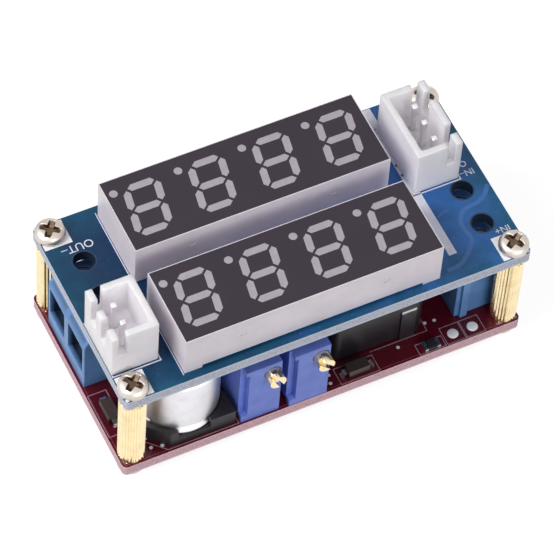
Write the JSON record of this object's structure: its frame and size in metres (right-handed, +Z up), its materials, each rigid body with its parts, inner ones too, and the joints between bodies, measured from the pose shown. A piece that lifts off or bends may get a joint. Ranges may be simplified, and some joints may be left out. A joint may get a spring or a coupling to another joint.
{
  "type": "buck converter module",
  "caption": "Two stacked circuit boards on knurled standoffs: step-down converter parts below, two rows of seven-segment digits and shrouded headers above.",
  "frame": {"origin": "centre of the module's overall box, at the level of the lower faces of the four bottom screw heads it stands on", "axes": "+X along the boards from the output terminal end to the input terminal end, +Y from the trimmers' side to the back, +Z up towards the displays"},
  "size_m": [0.0514, 0.0276, 0.0232],
  "materials": {
    "red_board": "glossy dark red solder mask",
    "blue_board": "glossy teal-blue solder mask",
    "brass": "knurled, bright",
    "screw": "nickel-plated, lightly polished",
    "terminal_plastic": "satin moulded",
    "steel": "zinc-plated",
    "tin": "tinned",
    "trimmer_plastic": "satin moulded",
    "can": "satin, pale",
    "black_plastic": "moulded",
    "ferrite": "fine-grained, dull",
    "diode": "moulded, dark brown",
    "grey_plastic": "moulded, grey",
    "ceramic": "fired, dull",
    "lamp": "clear, glossy",
    "case": "satin, pale grey",
    "face": "dark purple-grey film",
    "segment": "milky, unlit",
    "nylon": "satin, white"
  },
  "bodies": {
    "module": {"power_board": "red_board", "display_board": "blue_board", "standoffs": "brass", "top_screws": "screw", "bottom_screws": "screw", "output_terminal_housing": "terminal_plastic", "output_terminal_pins": "tin", "input_terminal_housing": "terminal_plastic", "input_terminal_pins": "tin", "left_trimmer_housing": "trimmer_plastic", "left_trimmer_pins": "tin", "right_trimmer_housing": "trimmer_plastic", "right_trimmer_pins": "tin", "output_capacitor_can": "can", "output_capacitor_base": "black_plastic", "output_capacitor_leads": "tin", "input_capacitor_can": "can", "input_capacitor_base": "black_plastic", "input_capacitor_leads": "tin", "inductor_core": "ferrite", "inductor_terminals": "tin", "regulator_body": "black_plastic", "regulator_tab_and_leads": "tin", "catch_diode_body": "black_plastic", "catch_diode_terminals": "tin", "edge_diode_body": "diode", "edge_diode_terminals": "tin", "front_diode_body": "grey_plastic", "front_diode_terminals": "tin", "amplifier_body": "black_plastic", "amplifier_leads": "tin", "current_shunt": "black_plastic", "chip_resistors": "black_plastic", "chip_capacitors": "ceramic", "status_lamps": "lamp", "chip_ends": "tin", "back_display_case": "case", "back_display_face": "face", "back_display_segments": "segment", "back_display_pins": "tin", "front_display_case": "case", "front_display_face": "face", "front_display_segments": "segment", "front_display_pins": "tin", "two_pin_header": "nylon", "two_pin_header_pins": "tin", "three_pin_header": "nylon", "three_pin_header_pins": "tin", "controller_body": "black_plastic", "controller_leads": "tin"},
    "output_screw_1": {"output_screw_1": "steel"},
    "output_clamp_1": {"output_clamp_1": "steel"},
    "output_screw_2": {"output_screw_2": "steel"},
    "output_clamp_2": {"output_clamp_2": "steel"},
    "input_screw_1": {"input_screw_1": "steel"},
    "input_clamp_1": {"input_clamp_1": "steel"},
    "input_screw_2": {"input_screw_2": "steel"},
    "input_clamp_2": {"input_clamp_2": "steel"},
    "left_trimmer_screw": {"left_trimmer_screw": "brass"},
    "right_trimmer_screw": {"right_trimmer_screw": "brass"}
  },
  "joints": [
    {"name": "output_clamp_1_rise", "type": "slide", "parent": "module", "child": "output_clamp_1", "axis": [0, 0, 1], "range_m": [0, 0.0018]},
    {"name": "output_screw_1_turn", "type": "hinge", "parent": "module", "child": "output_screw_1", "pos_m": [-0.02184, 0.00203, 0.0113], "axis": [0, 0, -1], "range_deg": [0, 1441]},
    {"name": "output_clamp_2_rise", "type": "slide", "parent": "module", "child": "output_clamp_2", "axis": [0, 0, 1], "range_m": [0, 0.0018]},
    {"name": "output_screw_2_turn", "type": "hinge", "parent": "module", "child": "output_screw_2", "pos_m": [-0.02184, 0.00711, 0.0113], "axis": [0, 0, -1], "range_deg": [0, 1441]},
    {"name": "input_clamp_1_rise", "type": "slide", "parent": "module", "child": "input_clamp_1", "axis": [0, 0, 1], "range_m": [0, 0.0018]},
    {"name": "input_screw_1_turn", "type": "hinge", "parent": "module", "child": "input_screw_1", "pos_m": [0.02214, -0.00134, 0.0113], "axis": [0, 0, -1], "range_deg": [0, 1441]},
    {"name": "input_clamp_2_rise", "type": "slide", "parent": "module", "child": "input_clamp_2", "axis": [0, 0, 1], "range_m": [0, 0.0018]},
    {"name": "input_screw_2_turn", "type": "hinge", "parent": "module", "child": "input_screw_2", "pos_m": [0.02214, -0.00641, 0.0113], "axis": [0, 0, -1], "range_deg": [0, 1441]},
    {"name": "left_trimmer_screw_turn", "type": "hinge", "parent": "module", "child": "left_trimmer_screw", "pos_m": [-0.00702, -0.01213, 0.01053], "axis": [0, 1, 0], "continuous": true},
    {"name": "right_trimmer_screw_turn", "type": "hinge", "parent": "module", "child": "right_trimmer_screw", "pos_m": [-0.00099, -0.01232, 0.01053], "axis": [0, 1, 0], "continuous": true}
  ],
  "couplings": [
    {"joint": "output_screw_1_turn", "follows": "output_clamp_1_rise", "rad_per_m": 13963},
    {"joint": "output_screw_2_turn", "follows": "output_clamp_2_rise", "rad_per_m": 13963},
    {"joint": "input_screw_1_turn", "follows": "input_clamp_1_rise", "rad_per_m": 13963},
    {"joint": "input_screw_2_turn", "follows": "input_clamp_2_rise", "rad_per_m": 13963}
  ]
}
